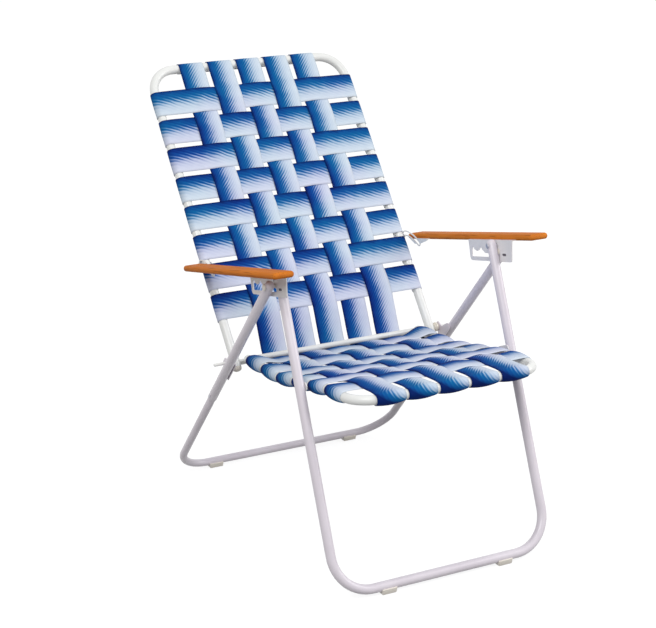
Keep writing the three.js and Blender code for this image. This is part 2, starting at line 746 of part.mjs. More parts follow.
const stampOutline = capsule(
  spot(stampU - halfStamp, stampV, 0), spot(stampU + halfStamp, stampV, 0), stampWidth / 2,
);
const underV = armTopV + armThickness + fitGap;
const frontWebOutline = rounded(flatSpots([
  [frontWeb.rearU, underV], [frontWeb.frontU, underV], [frontWeb.noseU, frontWeb.frontV],
  [frontWeb.rearU + sheetThickness, frontWeb.rearV],
]), [0, 0, frontWeb.corner, frontWeb.corner], true);

// Path of the rear arm bolt in the rear bracket while the chair folds.
const boltSpots = Array.from({ length: slotSteps + 1 }, (_, index) => {
  const fold = radians(foldAngle * index / slotSteps);
  const turn = (place, centre, angle) => place.clone().sub(centre).applyAxisAngle(xAxis, angle).add(centre);
  const legTop = turn(frontPivot, seatPivot, fold * frontLegShare);
  const bolt = turn(armBoltPlace, hinge, fold).sub(legTop);
  return armSpots(bolt.applyAxisAngle(xAxis, -fold * armShare).add(frontPivot));
});

function bracket(web, flangeU, innerX, flangeOuterX, side) {
  const [from, to] = flangeU;
  const flangeOutline = flatSpots([
    [from, underV], [to, underV], [to, underV + sheetThickness], [from, underV + sheetThickness],
  ]);
  const [nearX, farX] = side > 0 ? [innerX, flangeOuterX] : [-flangeOuterX, -innerX];
  const flange = sheet(armOrigin, armForward, armDown, flangeOutline, nearX, farX);
  return shape(solid(web).add(solid(flange)));
}

for (const [label, side] of Object.entries(sides)) {
  const board = new THREE.ExtrudeGeometry(
    new THREE.Shape(armBoard.map((point) => new THREE.Vector2(point.x, point.y))),
    {
      depth: armThickness - 2 * armEdge, bevelThickness: armEdge, bevelSize: armEdge,
      bevelOffset: -armEdge, bevelSegments: 2,
    },
  );
  const corner = along(along(armOrigin, armForward, armStartU), armDown, armTopV + armEdge);
  board.applyMatrix4(new THREE.Matrix4().makeRotationZ(side * armSplay));
  board.applyMatrix4(new THREE.Matrix4().makeBasis(armForward, xAxis, armDown)
    .setPosition(atX(corner, side * armRearX)));
  add(`arm_${label}`, shape(solid(board)), wood);

  const nearX = side > 0 ? webX : -webX - sheetThickness;
  const farX = nearX + sheetThickness;
  const holes = [windowOutline, stampOutline, disc(pivotSpot.x, pivotSpot.y, pivotBore)];
  const web = sheet(armOrigin, armForward, armDown, frontWebOutline, nearX, farX, holes);
  const frontU = [frontWeb.rearU, frontWeb.frontU];
  add(`front_bracket_${label}`, bracket(web, frontU, webX, webX + frontFlangeWidth, side), steel);

  const rearNear = side > 0 ? rearWebX : -rearWebX - sheetThickness;
  const rearFar = rearNear + sheetThickness;
  const rearTab = sheet(armOrigin, armForward, armDown, flatSpots(rearTabOutline), rearNear, rearFar);
  const runs = (radius, overrun) => boltSpots.slice(1).map((next, index) => {
    const outline = capsule(boltSpots[index], next, radius);
    return sheet(armOrigin, armForward, armDown, outline, rearNear - overrun, rearFar + overrun);
  });
  const band = runs(pivotBore + rearBandWall, 0).reduce((body, piece) => {
    return body.add(solid(piece));
  }, solid(rearTab));
  const slotted = cut(shape(band), runs(pivotBore + slotPlay, cutOverrun));
  const rearFlangeX = rearWebX + rearFlangeWidth;
  add(`rear_bracket_${label}`, bracket(slotted, rearFlangeU, rearWebX, rearFlangeX, side), steel);

  const tubeInner = backHalfWidth - tubeRadius - fitGap;
  const tubeOuter = backHalfWidth + tubeRadius + fitGap;
  add(`arm_bolt_${label}`, turned([
    [tubeInner - pivotHeadHeight, pivotHeadRadius * headTaper], [tubeInner, pivotHeadRadius * headTaper],
    [tubeInner, pivotRadius], [tubeOuter, pivotRadius], [tubeOuter, collarRadius],
    [rearWebX - fitGap, collarRadius], [rearWebX - fitGap, pivotRadius],
    [rearWebX + sheetThickness, pivotRadius],
  ], armBoltPlace, side), steel, plated);
}

// The origin sits on the floor under the middle of the bounding box.
const bounds = new THREE.Box3().setFromObject(group);
const shift = spot(0, -(bounds.min.y + bounds.max.y) / 2, -bounds.min.z);
group.children.forEach((mesh) => mesh.geometry.translate(shift.x, shift.y, shift.z));

export default group;
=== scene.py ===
import json
import math

import bpy
from mathutils import Matrix, Vector


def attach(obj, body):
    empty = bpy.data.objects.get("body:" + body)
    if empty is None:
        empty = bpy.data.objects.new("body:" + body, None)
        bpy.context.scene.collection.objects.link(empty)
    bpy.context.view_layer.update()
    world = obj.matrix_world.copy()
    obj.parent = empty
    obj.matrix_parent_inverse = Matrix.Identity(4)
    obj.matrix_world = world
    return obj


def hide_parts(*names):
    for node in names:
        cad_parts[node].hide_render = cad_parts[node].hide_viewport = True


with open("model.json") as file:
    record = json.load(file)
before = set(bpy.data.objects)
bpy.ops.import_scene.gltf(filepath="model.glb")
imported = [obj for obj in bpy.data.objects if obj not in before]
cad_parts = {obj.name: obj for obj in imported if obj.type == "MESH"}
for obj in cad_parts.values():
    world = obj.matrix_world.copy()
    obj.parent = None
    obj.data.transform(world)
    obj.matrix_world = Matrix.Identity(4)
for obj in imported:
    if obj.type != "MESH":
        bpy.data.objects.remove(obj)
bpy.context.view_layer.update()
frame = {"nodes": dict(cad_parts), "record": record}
nodes = frame["nodes"]
scene = bpy.context.scene
scene.view_settings.view_transform = "Standard"
print("frame loaded:", len(nodes), "nodes")


cameraSettings = {
    "place": (-1.6016, -2.972186, 1.5109),
    "right": (0.88377, -0.46793, 0.0),
    "up": (0.14538, 0.27457, 0.95053),
    "back": (-0.44478, -0.84004, 0.31068),
    "lens": 94.6,
    "sensor": 36.0,
    "farthest": 60,
}


def placeCamera(settings):
    data = bpy.data.cameras.new("photoCamera")
    data.lens = settings["lens"]
    data.sensor_fit = "HORIZONTAL"
    data.sensor_width = settings["sensor"]
    data.clip_end = settings["farthest"]
    camera = bpy.data.objects.new("photoCamera", data)
    scene.collection.objects.link(camera)
    turn = Matrix((settings["right"], settings["up"], settings["back"])).transposed()
    camera.matrix_world = Matrix.Translation(settings["place"]) @ turn.to_4x4()
    scene.camera = camera


placeCamera(cameraSettings)
print("camera placed")


def newMaterial(name):
    material = bpy.data.materials.new(name)
    material.use_nodes = True
    tree = material.node_tree
    shader = tree.nodes["Principled BSDF"]
    return material, tree, shader


def addNode(tree, kind, values=None, **settings):
    node = tree.nodes.new(kind)
    for key, value in settings.items():
        setattr(node, key, value)
    for socket, value in (values or {}).items():
        node.inputs[socket].default_value = value
    return node


def math2(tree, operation, first, second=0.0, clamp=False):
    node = addNode(tree, "ShaderNodeMath", operation=operation, use_clamp=clamp)
    for index, value in enumerate((first, second)):
        if isinstance(value, (int, float)):
            node.inputs[index].default_value = value
        else:
            tree.links.new(value, node.inputs[index])
    return node.outputs[0]


def ramp(tree, factor, stops):
    node = addNode(tree, "ShaderNodeValToRGB")
    elements = node.color_ramp.elements
    while len(elements) < len(stops):
        elements.new(stops[0][0])
    for element, (position, color) in zip(elements, stops):
        element.position = position
        element.color = (*color, 1)
    tree.links.new(factor, node.inputs["Fac"])
    return node.outputs["Color"]


def noise(tree, vector, scale, detail=3.0, roughness=0.55):
    values = {"Scale": scale, "Detail": detail, "Roughness": roughness}
    node = addNode(tree, "ShaderNodeTexNoise", values)
    tree.links.new(vector, node.inputs["Vector"])
    return node.outputs["Fac"]


def bump(tree, shader, height, strength, distance):
    node = addNode(tree, "ShaderNodeBump", {"Strength": strength, "Distance": distance})
    tree.links.new(height, node.inputs["Height"])
    tree.links.new(node.outputs["Normal"], shader.inputs["Normal"])


def mixColor(tree, factor, first, second, blend="MIX"):
    node = addNode(tree, "ShaderNodeMix", data_type="RGBA", blend_type=blend)
    for socket, value in ((0, factor), (6, first), (7, second)):
        if isinstance(value, (int, float)):
            node.inputs[socket].default_value = value
        elif isinstance(value, tuple):
            node.inputs[socket].default_value = (*value, 1)
        else:
            tree.links.new(value, node.inputs[socket])
    return node.outputs[2]


def mapped(tree, vector, **values):
    node = addNode(tree, "ShaderNodeMapping", values)
    tree.links.new(vector, node.inputs["Vector"])
    return node.outputs[0]


def objectSpace(tree):
    return addNode(tree, "ShaderNodeTexCoord").outputs["Object"]


def gray(level):
    return (level, level, level)


def srgb(code):
    parts = [int(code[index:index + 2], 16) / 255 for index in (1, 3, 5)]
    return tuple(part / 12.92 if part <= 0.04045 else ((part + 0.055) / 1.055) ** 2.4 for part in parts)


def tones(stops):
    return [(position, srgb(code)) for position, code in stops]


webbingSettings = {
    "navy": [
        (0.0, "#001255"), (0.12, "#033182"), (0.29, "#0d4c9a"), (0.41, "#4f75b2"),
        (0.52, "#a6b0d4"), (0.7, "#c6cde5"), (1.0, "#d9ddee"),
    ],
    "teal": [
        (0.0, "#012265"), (0.12, "#044f94"), (0.29, "#08649f"), (0.41, "#4d86b6"),
        (0.52, "#a1bad4"), (0.7, "#c3d3e4"), (1.0, "#d8e4ee"),
    ],
    "hueStretch": (0.7, 0.55, 1),  # along x, y and z of the chair, for patches of each hue
    "hueNoise": 10.0, "hueBand": (0.36, 0.64),
    "hueRise": 0.45, "hueMiddle": 0.5,  # more of the second hue above this height in metres
    "wobbleScale": 1.6, "wobble": 0.9,  # how far the streak lines wander
    "toothMiddle": 0.3, "depthLeast": 0.6, "depthChance": 0.8,  # depth of one streak against the next
    "window": [(0.0, 0.0), (0.2, 0.35), (0.36, 1.0), (0.6, 0.8)], "windowEnd": 0.12,  # where streaks show
    "cloudScale": 2.2, "cloud": 0.18,
    "ribPitch": 0.022, "yarnPitch": 0.0352, "weaveHeight": 0.5,
    "lineStretch": (60, 3, 1), "lineBand": (0.3, 0.6), "lineTint": (0.93, 0.93, 0.95), "lineHeight": 1.2,
    "roughness": 0.78, "specular": 0.1, "bump": (0.3, 0.0005),
}
streakSettings = {  # lean in degrees, the rest as shares of a strap's width
    "long": {"lean": -49.0, "pitch": 0.088, "swing": 0.26, "reach": 0.95},
    "row": {"lean": -64.0, "pitch": 0.125, "swing": 0.3, "reach": 0.92},
}


def makeWebbing(name, settings, streaks):
    material, tree, shader = newMaterial(name)
    uv = addNode(tree, "ShaderNodeUVMap", uv_map="UVMap").outputs["UV"]
    split = addNode(tree, "ShaderNodeSeparateXYZ")
    tree.links.new(uv, split.inputs[0])
    across, along = split.outputs["X"], split.outputs["Y"]
    wobble = noise(tree, uv, settings["wobbleScale"], 1.0)
    lean = math.radians(streaks["lean"])
    slant = math2(tree, "ADD", math2(tree, "MULTIPLY", along, math.cos(lean)),
                  math2(tree, "MULTIPLY", across, math.sin(lean)))
    turns = math2(tree, "ADD", math2(tree, "DIVIDE", slant, streaks["pitch"]),
                  math2(tree, "MULTIPLY", wobble, settings["wobble"]))
    saw = math2(tree, "PINGPONG", math2(tree, "FRACT", turns), 0.5)
    tooth = math2(tree, "SUBTRACT", saw, settings["toothMiddle"])
    cell = addNode(tree, "ShaderNodeTexWhiteNoise", noise_dimensions="1D")
    tree.links.new(math2(tree, "FLOOR", turns), cell.inputs["W"])
    chance = math2(tree, "MULTIPLY", cell.outputs["Value"], settings["depthChance"])
    depth = math2(tree, "ADD", settings["depthLeast"], chance)
    swing = math2(tree, "MULTIPLY", math2(tree, "MULTIPLY", tooth, depth), 2 * streaks["swing"])
    openings = settings["window"] + [(streaks["reach"], settings["windowEnd"])]
    window = ramp(tree, across, [(position, gray(level)) for position, level in openings])
    shifted = math2(tree, "MULTIPLY", swing, window)
    patchy = math2(tree, "SUBTRACT", noise(tree, uv, settings["cloudScale"], 2.0), 0.5)
    cloud = math2(tree, "MULTIPLY", patchy, settings["cloud"])
    place = math2(tree, "ADD", math2(tree, "ADD", across, shifted), cloud, True)
    navy = ramp(tree, place, tones(settings["navy"]))
    teal = ramp(tree, place, tones(settings["teal"]))
    spread = mapped(tree, objectSpace(tree), Scale=settings["hueStretch"])
    spot = addNode(tree, "ShaderNodeSeparateXYZ")
    tree.links.new(spread, spot.inputs[0])
    height = math2(tree, "SUBTRACT", spot.outputs["Z"], settings["hueMiddle"])
    rise = math2(tree, "MULTIPLY", height, settings["hueRise"])
    patch = math2(tree, "ADD", noise(tree, spread, settings["hueNoise"], 1.0), rise)
    hue = ramp(tree, patch, list(zip(settings["hueBand"], (gray(0), gray(1)))))
    color = mixColor(tree, hue, navy, teal)
    ribs = math2(tree, "SINE", math2(tree, "MULTIPLY", along, 2 * math.pi / settings["ribPitch"]))
    yarns = math2(tree, "SINE", math2(tree, "MULTIPLY", across, 2 * math.pi / settings["yarnPitch"]))
    weave = math2(tree, "MULTIPLY", math2(tree, "MULTIPLY", ribs, yarns), settings["weaveHeight"])
    lines = noise(tree, mapped(tree, uv, Scale=settings["lineStretch"]), 1.0, 2.0)
    tint = ramp(tree, lines, list(zip(settings["lineBand"], (settings["lineTint"], gray(1)))))
    color = mixColor(tree, 1.0, color, tint, "MULTIPLY")
    tree.links.new(color, shader.inputs["Base Color"])
    shader.inputs["Roughness"].default_value = settings["roughness"]
    shader.inputs["Specular IOR Level"].default_value = settings["specular"]
    surface = math2(tree, "ADD", weave, math2(tree, "MULTIPLY", lines, settings["lineHeight"]))
    bump(tree, shader, surface, *settings["bump"])
    return material


paintSettings = {
    "cloudScale": 9.0, "toneBand": (0.35, 0.75),
    "smearScale": 60.0, "smearFloor": -0.06, "smearRise": 0.14,
    "coatRoughness": 0.2, "grainScale": 350.0, "grainBump": (0.08, 0.0004),
}


def makePaint(name, color, shade, roughness, coat):
    settings = paintSettings
    material, tree, shader = newMaterial(name)
    place = objectSpace(tree)
    cloud = noise(tree, place, settings["cloudScale"], 4.0)
    tone = ramp(tree, cloud, list(zip(settings["toneBand"], (srgb(color), srgb(shade)))))
    tree.links.new(tone, shader.inputs["Base Color"])
    smear = math2(tree, "MULTIPLY", noise(tree, place, settings["smearScale"]), settings["smearRise"])
    rough = math2(tree, "ADD", roughness + settings["smearFloor"], smear)
    tree.links.new(rough, shader.inputs["Roughness"])
    shader.inputs["Coat Weight"].default_value = coat
    shader.inputs["Coat Roughness"].default_value = settings["coatRoughness"]
    bump(tree, shader, noise(tree, place, settings["grainScale"], 2.0), *settings["grainBump"])
    return material


metalSettings = {
    "cloudScale": 70.0, "toneBand": (0.3, 0.8), "metallic": 0.85,
    "smearScale": 180.0, "smearFloor": 0.24, "smearRise": 0.2,
    "grainScale": 500.0, "grainBump": (0.1, 0.0003),
}


def makeMetal(name, color, shade):
    settings = metalSettings
    material, tree, shader = newMaterial(name)
    place = objectSpace(tree)
    cloud = noise(tree, place, settings["cloudScale"], 4.0)
    tone = ramp(tree, cloud, list(zip(settings["toneBand"], (srgb(color), srgb(shade)))))
    tree.links.new(tone, shader.inputs["Base Color"])
    shader.inputs["Metallic"].default_value = settings["metallic"]
    smear = math2(tree, "MULTIPLY", noise(tree, place, settings["smearScale"]), settings["smearRise"])
    tree.links.new(math2(tree, "ADD", settings["smearFloor"], smear), shader.inputs["Roughness"])
    bump(tree, shader, noise(tree, place, settings["grainScale"], 2.0), *settings["grainBump"])
    return material


oakSettings = {
    "slope": 13.14,  # degrees the arm boards fall to the rear
    "stops": [(0.2, "#a85a16"), (0.42, "#c97124"), (0.6, "#d77d29"), (0.85, "#ea9f46")],
    "grainStretch": (70, 4, 90), "grainShare": 0.6,
    "bandStretch": (22, 1.6, 26), "bandShare": 0.4,
    "poreStretch": (420, 14, 420), "poreBand": (0.3, 0.42), "poreTint": (0.45, 0.4, 0.36), "poreShare": 0.7,
    "roughFloor": 0.5, "roughRise": 0.25, "specular": 0.12, "poreHeight": 0.6, "bump": (0.2, 0.0005),
}


def makeOak(name, settings):
    material, tree, shader = newMaterial(name)
    level = mapped(tree, objectSpace(tree), Rotation=(math.radians(settings["slope"]), 0, 0))
    grain = noise(tree, mapped(tree, level, Scale=settings["grainStretch"]), 1.0, 5.0, 0.6)
    bands = noise(tree, mapped(tree, level, Scale=settings["bandStretch"]), 1.0, 2.0)
    mixed = math2(tree, "ADD", math2(tree, "MULTIPLY", grain, settings["grainShare"]),
                  math2(tree, "MULTIPLY", bands, settings["bandShare"]))
    color = ramp(tree, mixed, tones(settings["stops"]))
    pore = noise(tree, mapped(tree, level, Scale=settings["poreStretch"]), 1.0, 1.0)
    dark = ramp(tree, pore, list(zip(settings["poreBand"], (settings["poreTint"], gray(1)))))
    color = mixColor(tree, settings["poreShare"], color, dark, "MULTIPLY")
    tree.links.new(color, shader.inputs["Base Color"])
    rough = math2(tree, "ADD", settings["roughFloor"], math2(tree, "MULTIPLY", grain, settings["roughRise"]))
    tree.links.new(rough, shader.inputs["Roughness"])
    shader.inputs["Specular IOR Level"].default_value = settings["specular"]
    surface = math2(tree, "ADD", math2(tree, "MULTIPLY", pore, settings["poreHeight"]), grain)
    bump(tree, shader, surface, *settings["bump"])
    return material


# painted shade: the leg tubes and hook plates get a darker pinkish grey copy of the white enamel, standing in
# for their shading; the lit white copy goes to the back and seat tubes
shadedEnamel = makePaint("shadedWhiteEnamel", "#e1dae2", "#d5cdd6", 0.34, 0.3)
litEnamel = makePaint("litEnamel", "#edeeec", "#e4e5e2", 0.34, 0.3)
bracketPaint = makePaint("bracketPaint", "#f0eeee", "#e4e1e2", 0.4, 0.2)
creamPlastic = makePaint("creamPlastic", "#ece6dc", "#e2dacd", 0.32, 0.15)
# dark grey paint for the block set in each bracket slot
darkSlotPaint = makePaint("darkSlotFill", "#625e66", "#55515a", 0.5, 0)
plated = makeMetal("platedSteel", "#c9c9cf", "#a8a8b0")
oak = makeOak("oakArms", oakSettings)
longWebbing = makeWebbing("longWebbing", webbingSettings, streakSettings["long"])
rowWebbing = makeWebbing("rowWebbing", webbingSettings, streakSettings["row"])

finishes = {
    "white_enamel": shadedEnamel, "bracket_sheet": bracketPaint, "plated_fasteners": plated,
    "cream_plastic": creamPlastic, "blue_webbing": rowWebbing, "oak_arms": oak,
}
slotOf = {part["node"]: part["material_slot"] for part in frame["record"]["subparts"]}
bodies = frame["record"]["behaviour"]["bodies"]
bodyOf = {node: body for body, names in bodies.items() for node in names}
finishOf = {node: finishes[slot] for node, slot in slotOf.items()}
# the lit white copy of the enamel goes to the back and seat tubes, hinge bar and rear brackets; the hook
# plates keep the shaded copy
litTubes = ("back_frame", "back_crossbar", "seat_frame", "hinge_bar")
for node in (*litTubes, "rear_bracket_left", "rear_bracket_right"):
    finishOf[node] = litEnamel
for node in ("hook_plate_left", "hook_plate_right"):
    finishOf[node] = shadedEnamel
for node, finish in finishOf.items():
    nodes[node].data.materials.clear()
    nodes[node].data.materials.append(finish)
print("materials made")


def heading(angle):
    return Vector((0, math.cos(math.radians(angle)), math.sin(math.radians(angle))))


def side(label):
    return -1 if label.endswith("left") else 1


wearSettings = {"segments": 3, "angle": 35, "merge": 0.00001}


def wear(piece, node, edge, angle=wearSettings["angle"]):
    bevel = piece.modifiers.new("edge", "BEVEL")
    bevel.width = edge
    bevel.segments = wearSettings["segments"]
    bevel.limit_method = "ANGLE"
    bevel.angle_limit = math.radians(angle)
    bpy.ops.object.modifier_apply(modifier="edge")
    bpy.ops.object.mode_set(mode="EDIT")
    bpy.ops.mesh.select_all(action="SELECT")
    bpy.ops.mesh.remove_doubles(threshold=wearSettings["merge"])
    bpy.ops.mesh.normals_make_consistent(inside=False)
    bpy.ops.object.mode_set(mode="OBJECT")
    bpy.ops.object.shade_smooth_by_angle(angle=math.radians(angle))
    piece.name = f"shape_{node}"
    piece.data.materials.append(finishOf[node])
    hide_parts(node)
    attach(piece, bodyOf[node])


def ringAt(place, direction, radius, sides, fill):
    bpy.ops.object.select_all(action="DESELECT")
    turn = direction.to_track_quat("Z", "Y").to_euler()
    bpy.ops.mesh.primitive_circle_add(
        vertices=sides, radius=radius, fill_type=fill, location=place, rotation=turn,
    )
    bpy.ops.object.transform_apply(location=True, rotation=True, scale=True)
    bpy.ops.object.mode_set(mode="EDIT")
    bpy.ops.mesh.select_all(action="SELECT")
    return bpy.context.object


def pushRing(move):
    bpy.ops.mesh.extrude_region_move(TRANSFORM_OT_translate={"value": move})


def closeRing(place, out, dome):
    reached, width = 0.0, 1.0
    for share, size in pipeSettings["dome"] if dome else ():
        pushRing(out * dome * (share - reached))
        bpy.ops.transform.resize(value=(size / width,) * 3, center_override=place + out * dome * share)
        reached, width = share, size
    bpy.ops.mesh.edge_face_add()


pipeSettings = {
    "radius": 0.0095,
    "slipRadius": 0.0082,  # the lower rear tube slides into the upper ones
    "sides": 32, "edge": 0.0004, "smooth": 50,
    "bendStep": 6.0,  # degrees of bend in one step
    "dome": [(0.3, 0.95), (0.6, 0.8), (0.85, 0.53), (0.97, 0.25)],  # share of its height, width there
    "hinge": (0.020679, 0.335200),
    "backSlope": 51.46, "backHalf": 0.2297, "backLow": -0.013, "backLength": 0.6696, "backBend": 0.055,
    "seatRuns": [(177.2, 0.1439), (168.1, 0.207), (174.7, 0.113)],  # slope and length, hinge to front
    "seatHalf": 0.2, "seatKnee": 0.06, "seatBend": 0.049, "seatStart": 0.0005, "seatDome": 0.0094,
    "frontFoot": (-0.433121, 0.0145), "frontSlope": 67.29, "frontHalf": 0.236, "frontLength": 0.6094,
    "rearFoot": (0.270879, 0.0132), "rearSlope": 131.08, "rearHalf": 0.2614, "rearLength": 0.7298,
    "splice": 0.31, "spliceRivet": 0.32, "slip": 0.355, "legBend": 0.075, "topDome": 0.008,
}


def bentPipe(node, corners, radii, radius, domes=(0, 0)):
    here = corners[0]
    leaving = (corners[1] - here).normalized()
    pipe = ringAt(here, leaving, radius, pipeSettings["sides"], "NOTHING")
    for before, corner, after, bend in zip(corners, corners[1:], corners[2:], radii):
        arriving = (corner - before).normalized()
        leaving = (after - corner).normalized()
        turn = arriving.angle(leaving)
        reach = bend * math.tan(turn / 2)
        stop = corner - arriving * reach
        axis = arriving.cross(leaving).normalized()
        pushRing(stop - here)
        steps = max(2, math.ceil(math.degrees(turn) / pipeSettings["bendStep"]))
        bpy.ops.mesh.spin(steps=steps, angle=-turn, center=stop + axis.cross(arriving) * bend, axis=axis)
        here = corner + leaving * reach
    pushRing(corners[-1] - here)
    closeRing(corners[-1], leaving, domes[1])
    bpy.ops.mesh.select_all(action="DESELECT")
    bpy.ops.mesh.select_non_manifold()
    closeRing(corners[0], (corners[0] - corners[1]).normalized(), domes[0])
    bpy.ops.object.mode_set(mode="OBJECT")
    wear(pipe, node, pipeSettings["edge"], pipeSettings["smooth"])


def hoop(low, top, half):
    return [Vector((x, end.y, end.z)) for x, end in ((-half, low), (-half, top), (half, top), (half, low))]


def flat(pair):
    return Vector((0, *pair))


hinge = flat(pipeSettings["hinge"])
backUp = heading(pipeSettings["backSlope"])
backFront = heading(pipeSettings["backSlope"] + 90)
backLow = hinge + backUp * pipeSettings["backLow"]
backTop = hinge + backUp * pipeSettings["backLength"]
backHoop = hoop(backLow, backTop, pipeSettings["backHalf"])
bentPipe("back_frame", backHoop, [pipeSettings["backBend"]] * 2, pipeSettings["radius"])

rail = [hinge + heading(pipeSettings["seatRuns"][0][0]) * pipeSettings["seatStart"]]
knot = hinge
for slope, length in pipeSettings["seatRuns"]:
    knot = knot + heading(slope) * length
    rail.append(knot)
rails = [point - Vector((pipeSettings["seatHalf"], 0, 0)) for point in rail]
rails += [point + Vector((pipeSettings["seatHalf"], 0, 0)) for point in reversed(rail)]
knees = [pipeSettings["seatKnee"]] * 2
seatBends = knees + [pipeSettings["seatBend"]] * 2 + knees
bentPipe("seat_frame", rails, seatBends, pipeSettings["radius"], (pipeSettings["seatDome"],) * 2)

frontUp = heading(pipeSettings["frontSlope"])
frontFoot = flat(pipeSettings["frontFoot"])
frontHoop = hoop(frontFoot + frontUp * pipeSettings["frontLength"], frontFoot, pipeSettings["frontHalf"])
topDomes = (pipeSettings["topDome"],) * 2
bentPipe("front_leg_frame", frontHoop, [pipeSettings["legBend"]] * 2, pipeSettings["radius"], topDomes)

rearUp = heading(pipeSettings["rearSlope"])
rearFoot = flat(pipeSettings["rearFoot"])
rearHoop = hoop(rearFoot + rearUp * pipeSettings["slip"], rearFoot, pipeSettings["rearHalf"])
bentPipe("rear_lower_frame", rearHoop, [pipeSettings["legBend"]] * 2, pipeSettings["slipRadius"])
for label in ("left", "right"):
    across = Vector((side(label) * pipeSettings["rearHalf"], 0, 0))
    ends = [rearFoot + across + rearUp * pipeSettings[key] for key in ("splice", "rearLength")]
    bentPipe(f"rear_upper_tube_{label}", ends, [], pipeSettings["radius"], (0, pipeSettings["topDome"]))
print("tubes bent")

pivotSettings = {
    "seat": (-0.258083, 0.370686), "leg": (-0.199396, 0.572964), "notch": (-0.206053, 0.560303),
    "armBolt": 0.218,  # up the back from the hinge
}
seatPivot, legPivot, notchPivot = (flat(pivotSettings[key]) for key in ("seat", "leg", "notch"))
splicePin = rearFoot + rearUp * pipeSettings["spliceRivet"]
armBolt = hinge + backUp * pivotSettings["armBolt"]

turnedShape = {"sides": 24, "edge": 0.0003}
turnedSettings = {  # place on the middle plane, then distance from it and radius at each station
    "seat_rivet": (seatPivot, [
        (0.1882, 0.0033), (0.1892, 0.0055), (0.1902, 0.0055), (0.1902, 0.003), (0.2098, 0.003),
        (0.2098, 0.0042), (0.2239, 0.0042), (0.2239, 0.003), (0.2265, 0.003), (0.2265, 0.0055),
        (0.2275, 0.0055), (0.2285, 0.0033),
    ]),
    "leg_rivet": (legPivot, [
        (0.2242, 0.0033), (0.2252, 0.0055), (0.2262, 0.0055), (0.2262, 0.003), (0.2458, 0.003),
        (0.2458, 0.0042), (0.2469, 0.0042), (0.2469, 0.003), (0.2495, 0.003), (0.2495, 0.0042),
        (0.2515, 0.0042),
    ]),
    "notch_pin": (notchPivot, [
        (0.2458, 0.006), (0.2469, 0.006), (0.2469, 0.004), (0.2712, 0.004), (0.2712, 0.0065),
        (0.2727, 0.0065), (0.2742, 0.0039),
    ]),
    "splice_rivet": (splicePin, [
        (0.2501, 0.0021), (0.2516, 0.0035), (0.2516, 0.002), (0.2712, 0.002), (0.2712, 0.0035),
        (0.2727, 0.0021),
    ]),
    "arm_bolt": (armBolt, [
        (0.2179, 0.0033), (0.2199, 0.0033), (0.2199, 0.003), (0.2395, 0.003), (0.2395, 0.0042),
        (0.2409, 0.0042), (0.2409, 0.003), (0.2432, 0.003),
    ]),
    "hinge_spacer": (hinge, [
        (0.2395, 0.007), (0.2429, 0.007), (0.2429, 0.01), (0.2459, 0.01), (0.2459, 0.007),
        (0.2493, 0.007),
    ]),
}
capStations = [
    (-0.0065, 0.0072), (0.0003, 0.0072), (0.0003, 0.0095), (0.0035, 0.0093), (0.006, 0.008),
    (0.0078, 0.0055), (0.0087, 0.0022),
]
barStations = [
    (-0.277, 0.0019), (-0.2755, 0.0032), (-0.1902, 0.0032), (-0.1902, 0.006), (0.1902, 0.006),
    (0.1902, 0.0032), (0.2755, 0.0032), (0.277, 0.0019),
]


def turnedPiece(node, place, direction, stations):
    distance, radius = stations[0]
    piece = ringAt(place + direction * distance, direction, radius, turnedShape["sides"], "NGON")
    for reached, width in stations[1:]:
        pushRing(direction * (reached - distance))
        centre = place + direction * reached
        bpy.ops.transform.resize(value=(width / radius,) * 3, center_override=centre)
        distance, radius = reached, width
    bpy.ops.object.mode_set(mode="OBJECT")
    wear(piece, node, turnedShape["edge"])


for label in ("left", "right"):
    outward = Vector((side(label), 0, 0))
    for kind, (place, stations) in turnedSettings.items():
        turnedPiece(f"{kind}_{label}", place, outward, stations)
    capPlace = backLow + outward * pipeSettings["backHalf"]
    turnedPiece(f"back_cap_{label}", capPlace, -backUp, capStations)
turnedPiece("hinge_bar", hinge, Vector((1, 0, 0)), barStations)
print("pivots turned")

armSettings = {
    "slope": 166.86, "pivotU": 0.3606, "pivotV": 0.024,
    "start": 0.011, "length": 0.46, "width": 0.0426, "top": 0.0043, "thickness": 0.0125,
    "rearX": 0.265, "frontX": 0.2779, "edge": 0.0022,
    "corner": 0.006, "cornerSteps": 7, "upright": 0.99,  # edges steeper than this get the round corner
}


def armPlace(label, along, below, x):
    forward, down = heading(armSettings["slope"]), heading(armSettings["slope"] + 90)
    origin = legPivot - forward * armSettings["pivotU"] - down * armSettings["pivotV"]
    place = origin + forward * along + down * below
    place.x = side(label) * x
    return place, forward, down


def armBoard(label, settings):
    middle = settings["top"] + settings["thickness"] / 2
    rear, forward, down = armPlace(label, settings["start"], middle, settings["rearX"])
    splay = math.atan2(settings["frontX"] - settings["rearX"], settings["length"])
    lengthwise = forward * math.cos(splay) + Vector((side(label) * math.sin(splay), 0, 0))
    across = (-down).cross(lengthwise)
    turn = Matrix((lengthwise, across, -down)).transposed().to_euler()
    bpy.ops.object.select_all(action="DESELECT")
    bpy.ops.mesh.primitive_cube_add(
        size=1, location=rear + lengthwise * settings["length"] / 2, rotation=turn,
        scale=(settings["length"], settings["width"], settings["thickness"]),
    )
    board = bpy.context.object
    bpy.ops.object.transform_apply(location=True, rotation=True, scale=True)
    scene.tool_settings.mesh_select_mode = (False, True, False)
    for edge in board.data.edges:
        run = board.data.vertices[edge.vertices[1]].co - board.data.vertices[edge.vertices[0]].co
        edge.select = abs(run.normalized().dot(down)) > settings["upright"]
    bpy.ops.object.mode_set(mode="EDIT")
    bpy.ops.mesh.bevel(offset=settings["corner"], segments=settings["cornerSteps"], affect="EDGES")
    bpy.ops.object.mode_set(mode="OBJECT")
    scene.tool_settings.mesh_select_mode = (True, False, False)
    wear(board, f"arm_{label}", settings["edge"])


# a dark grey block set in the slot of each arm bracket
darkSlotSettings = {"u": 0.3854, "v": 0.0442, "x": 0.2481, "size": (0.0136, 0.0052, 0.0016), "edge": 0.0007}


